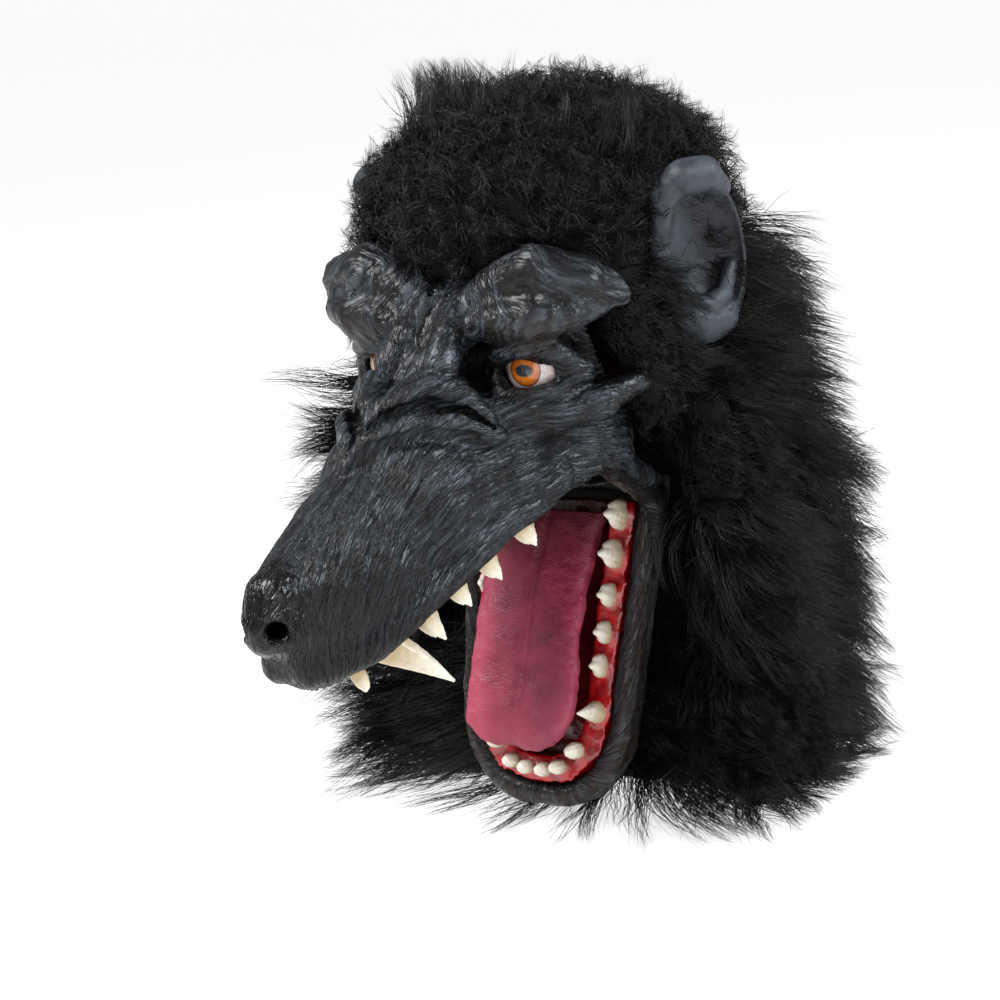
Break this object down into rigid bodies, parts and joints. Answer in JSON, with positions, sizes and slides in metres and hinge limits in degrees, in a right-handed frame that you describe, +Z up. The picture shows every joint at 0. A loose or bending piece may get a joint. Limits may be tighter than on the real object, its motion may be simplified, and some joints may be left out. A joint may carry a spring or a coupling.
{
  "type": "werewolf mask",
  "caption": "Over-the-head werewolf mask: moulded latex face with a wide open toothed mouth and long tongue, joined to a hood of long black faux fur.",
  "frame": {"origin": "middle of the object's length and width, on the plane that the hood's lower edge stands on", "axes": "+Z up, -Y where the face looks, +X the mask's own left"},
  "size_m": [0.2558, 0.4059, 0.3922],
  "materials": {
    "black_latex": "satin, hand painted, steel grey on the ridges",
    "ear_latex": "matt",
    "red_gum": "gloss",
    "tongue_latex": "satin, fine pores",
    "tooth_ivory": "satin",
    "eye_amber": "gloss",
    "black_fur": "long pile"
  },
  "bodies": {
    "head": {"face_skin": "black_latex", "upper_mouth_lining": "red_gum", "eye_left": "eye_amber", "eye_right": "eye_amber", "ear_left": "ear_latex", "ear_right": "ear_latex", "hood_crown": "black_fur", "hood_side_left": "black_fur", "hood_side_right": "black_fur", "hood_back": "black_fur", "hood_bib": "black_fur", "upper_incisor_1_left": "tooth_ivory", "upper_incisor_1_right": "tooth_ivory", "upper_incisor_2_left": "tooth_ivory", "upper_incisor_2_right": "tooth_ivory", "upper_incisor_3_left": "tooth_ivory", "upper_incisor_3_right": "tooth_ivory", "upper_canine_left": "tooth_ivory", "upper_canine_right": "tooth_ivory", "upper_cheek_tooth_1_left": "tooth_ivory", "upper_cheek_tooth_1_right": "tooth_ivory", "upper_cheek_tooth_2_left": "tooth_ivory", "upper_cheek_tooth_2_right": "tooth_ivory", "upper_cheek_tooth_3_left": "tooth_ivory", "upper_cheek_tooth_3_right": "tooth_ivory", "upper_cheek_tooth_4_left": "tooth_ivory", "upper_cheek_tooth_4_right": "tooth_ivory"},
    "jaw": {"jaw_skin": "black_latex", "lower_mouth_lining": "red_gum", "lower_incisor_1_left": "tooth_ivory", "lower_incisor_1_right": "tooth_ivory", "lower_incisor_2_left": "tooth_ivory", "lower_incisor_2_right": "tooth_ivory", "lower_incisor_3_left": "tooth_ivory", "lower_incisor_3_right": "tooth_ivory", "lower_canine_left": "tooth_ivory", "lower_canine_right": "tooth_ivory", "lower_cheek_tooth_1_left": "tooth_ivory", "lower_cheek_tooth_1_right": "tooth_ivory", "lower_cheek_tooth_2_left": "tooth_ivory", "lower_cheek_tooth_2_right": "tooth_ivory", "lower_cheek_tooth_3_left": "tooth_ivory", "lower_cheek_tooth_3_right": "tooth_ivory", "lower_cheek_tooth_4_left": "tooth_ivory", "lower_cheek_tooth_4_right": "tooth_ivory", "lower_cheek_tooth_5_left": "tooth_ivory", "lower_cheek_tooth_5_right": "tooth_ivory"},
    "tongue": {"tongue": "tongue_latex"}
  },
  "joints": [
    {"name": "jaw_hinge", "type": "hinge", "parent": "head", "child": "jaw", "pos_m": [0, 0.061, 0.184], "axis": [-1, 0, 0], "range_deg": [0, 25], "stiffness_Nm_per_rad": 0.6},
    {"name": "tongue_flex", "type": "hinge", "parent": "jaw", "child": "tongue", "pos_m": [0, 0.059, 0.162], "axis": [-1, 0, 0], "range_deg": [0, 12], "stiffness_Nm_per_rad": 0.3}
  ]
}
